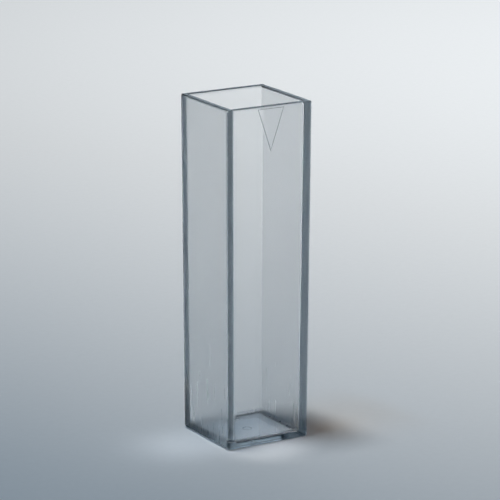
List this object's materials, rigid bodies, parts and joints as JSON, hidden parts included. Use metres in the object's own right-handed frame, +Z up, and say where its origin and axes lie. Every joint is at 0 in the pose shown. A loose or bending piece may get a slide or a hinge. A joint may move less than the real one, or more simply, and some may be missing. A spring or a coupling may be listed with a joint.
{
  "type": "cuvette",
  "caption": "Slim square cuvette of clear moulded plastic, open at the top, with clear windows, frosted side walls and a small triangle that marks a window.",
  "frame": {"origin": "middle of the foot, on the surface that the cuvette stands on", "axes": "+Z up out of the mouth, -Y out of the window that has the triangle, +X out of a frosted side"},
  "size_m": [0.0126, 0.0126, 0.045],
  "materials": {
    "polystyrene": "clear moulded, polished on the window faces and frosted on the side faces"
  },
  "bodies": {
    "root": {"cuvette": "polystyrene"}
  },
  "joints": []
}
